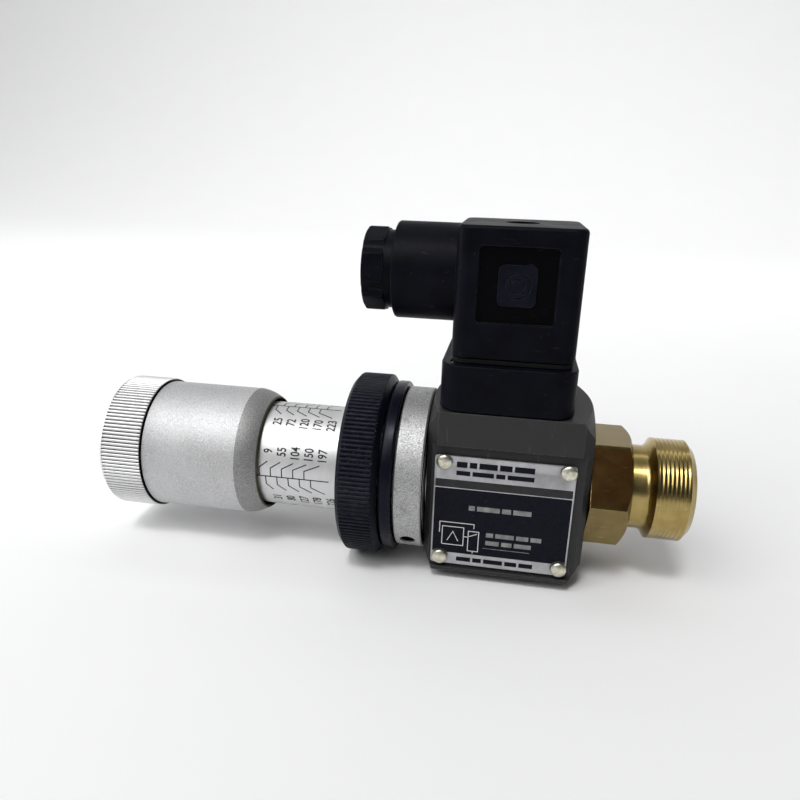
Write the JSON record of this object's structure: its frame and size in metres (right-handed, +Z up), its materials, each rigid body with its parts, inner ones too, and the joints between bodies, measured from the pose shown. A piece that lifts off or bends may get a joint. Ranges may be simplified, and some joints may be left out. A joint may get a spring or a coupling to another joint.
{
  "type": "pressure switch",
  "caption": "Adjustable pressure switch with a graduated spring barrel, a turning setting sleeve, a knurled ring nut, a brass port and a square right-angle connector plug.",
  "frame": {"origin": "centre of the body's flat underside, below the connector's centre line", "axes": "+X along the switch axis from the setting knob to the pressure port, +Z up from the underside to the connector plug, -Y is the nameplate side"},
  "size_m": [0.1523, 0.0482, 0.0889],
  "materials": {
    "black_anodised": "matt black anodised aluminium",
    "zinc_steel": "bright turned steel",
    "spring_steel": "oiled spring wire",
    "cast_silver": "fine-blasted aluminium",
    "bright_aluminium": "turned and brushed aluminium",
    "satin_aluminium": "bead-blasted satin aluminium",
    "brass": "turned brass",
    "contact_brass": "tinned contact brass",
    "rubber": "nitrile rubber",
    "black_plastic": "moulded glass-filled nylon",
    "insert_plastic": "moulded terminal block",
    "red_plastic": "phenolic switch case",
    "wire_plastic": "insulated stranded wire",
    "printed_plate": "printed and anodised foil plate",
    "rivet_metal": "nickel-plated rivet"
  },
  "bodies": {
    "switch": {"switch_body": "black_anodised", "threaded_neck": "zinc_steel", "flange_ring": "cast_silver", "scale_barrel": "bright_aluminium", "spindle_bush": "brass", "main_spring": "spring_steel", "piston_bush": "brass", "piston_seal": "rubber", "fitting_o_ring": "rubber", "brass_fitting": "brass", "microswitch_case": "red_plastic", "microswitch_bracket": "zinc_steel", "microswitch_screw_1": "zinc_steel", "microswitch_screw_2": "zinc_steel", "microswitch_terminal_1": "contact_brass", "microswitch_terminal_2": "contact_brass", "microswitch_terminal_3": "contact_brass", "lead_wire_1": "wire_plastic", "lead_wire_2": "wire_plastic", "lead_wire_3": "wire_plastic", "connector_base": "black_plastic", "contact_pin_1": "contact_brass", "contact_pin_2": "contact_brass", "contact_pin_3": "contact_brass", "earth_pin": "contact_brass", "base_screw_1": "zinc_steel", "base_screw_2": "zinc_steel", "nameplate": "printed_plate", "nameplate_rivet_1": "rivet_metal", "nameplate_rivet_2": "rivet_metal", "nameplate_rivet_3": "rivet_metal", "nameplate_rivet_4": "rivet_metal"},
    "pressure_train": {"piston": "zinc_steel", "push_rod": "zinc_steel", "actuator_arm": "zinc_steel", "lower_spring_plate": "zinc_steel"},
    "plunger": {"microswitch_plunger": "black_plastic"},
    "spring_follower": {"upper_spring_plate": "zinc_steel", "thrust_ball": "zinc_steel"},
    "setting_knob": {"knurled_cap": "bright_aluminium", "adjusting_sleeve": "satin_aluminium", "sleeve_wiper": "rubber", "knob_screw": "zinc_steel", "spindle": "zinc_steel"},
    "clamp_slide": {"clamp_ring": "black_anodised"},
    "ring_nut": {"ring_nut": "black_anodised"},
    "plug": {"plug_shell": "black_plastic", "plug_gasket": "rubber", "terminal_insert": "insert_plastic", "socket_contact_1": "contact_brass", "socket_contact_2": "contact_brass", "socket_contact_3": "contact_brass", "socket_contact_4": "contact_brass", "plug_screw": "zinc_steel", "gland_grommet": "rubber"},
    "gland_slide": {"gland_washer": "zinc_steel"},
    "gland_nut": {"gland_nut": "black_plastic"}
  },
  "joints": [
    {"name": "adjust_travel", "type": "slide", "parent": "switch", "child": "spring_follower", "axis": [1, 0, 0], "range_m": [0, 0.015], "deforming": ["main_spring"]},
    {"name": "knob_turn", "type": "hinge", "parent": "spring_follower", "child": "setting_knob", "pos_m": [-0.08, 0, 0.0215], "axis": [1, 0, 0], "range_deg": [0, 1800]},
    {"name": "clamp_travel", "type": "slide", "parent": "switch", "child": "clamp_slide", "axis": [-1, 0, 0], "range_m": [0, 0.003]},
    {"name": "ring_nut_turn", "type": "hinge", "parent": "clamp_slide", "child": "ring_nut", "pos_m": [-0.035, 0, 0.0215], "axis": [-1, 0, 0], "range_deg": [0, 720]},
    {"name": "pressure_stroke", "type": "slide", "parent": "switch", "child": "pressure_train", "axis": [-1, 0, 0], "range_m": [0, 0.0008]},
    {"name": "plunger_stroke", "type": "slide", "parent": "switch", "child": "plunger", "axis": [-1, 0, 0], "range_m": [0, 0.0008]},
    {"name": "plug_pull", "type": "slide", "parent": "switch", "child": "plug", "axis": [0, 0, 1], "range_m": [0, 0.018]},
    {"name": "gland_travel", "type": "slide", "parent": "plug", "child": "gland_slide", "axis": [-1, 0, 0], "range_m": [0, 0.004]},
    {"name": "gland_nut_turn", "type": "hinge", "parent": "gland_slide", "child": "gland_nut", "pos_m": [-0.034, 0, 0.0739], "axis": [-1, 0, 0], "range_deg": [0, 960]}
  ],
  "couplings": [
    {"joint": "knob_turn", "follows": "adjust_travel", "rad_per_m": 2094.4},
    {"joint": "ring_nut_turn", "follows": "clamp_travel", "rad_per_m": 4188.8},
    {"joint": "gland_nut_turn", "follows": "gland_travel", "rad_per_m": 4188.8},
    {"joint": "plunger_stroke", "follows": "pressure_stroke", "ratio": 1}
  ]
}
